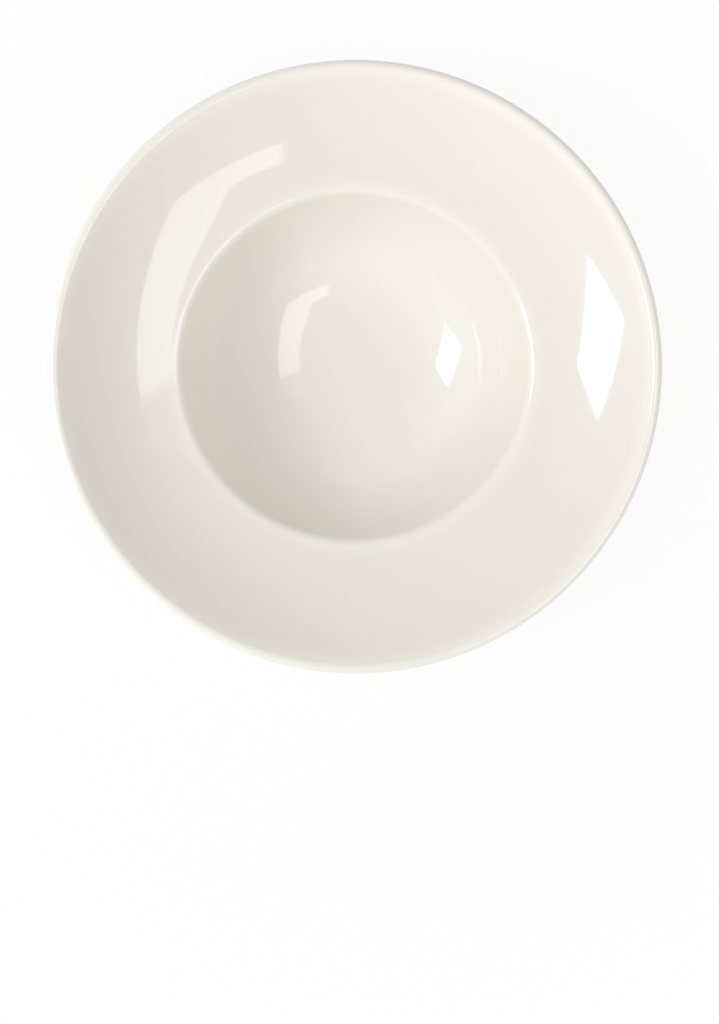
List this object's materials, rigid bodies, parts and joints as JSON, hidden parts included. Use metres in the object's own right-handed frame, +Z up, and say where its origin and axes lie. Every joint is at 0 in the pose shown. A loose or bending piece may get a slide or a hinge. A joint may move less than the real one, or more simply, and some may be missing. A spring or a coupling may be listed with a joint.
{
  "type": "pasta bowl",
  "caption": "Round pasta bowl with a wide upswept rim, a deep rounded well and a tapered foot ring, in ivory glazed porcelain, for serving pasta, soup or risotto.",
  "frame": {"origin": "on the table, in the middle of the foot ring's standing face", "axes": "+Z up along the bowl's axis of symmetry, X and Y level in any direction because the bowl is round"},
  "size_m": [0.27, 0.27, 0.085],
  "materials": {
    "porcelain": "fired and unglazed, fine matt grain",
    "glaze": "high gloss ivory glaze"
  },
  "bodies": {
    "root": {"porcelain_body": "porcelain", "glaze_coat": "glaze", "base_glaze": "glaze"}
  },
  "joints": []
}
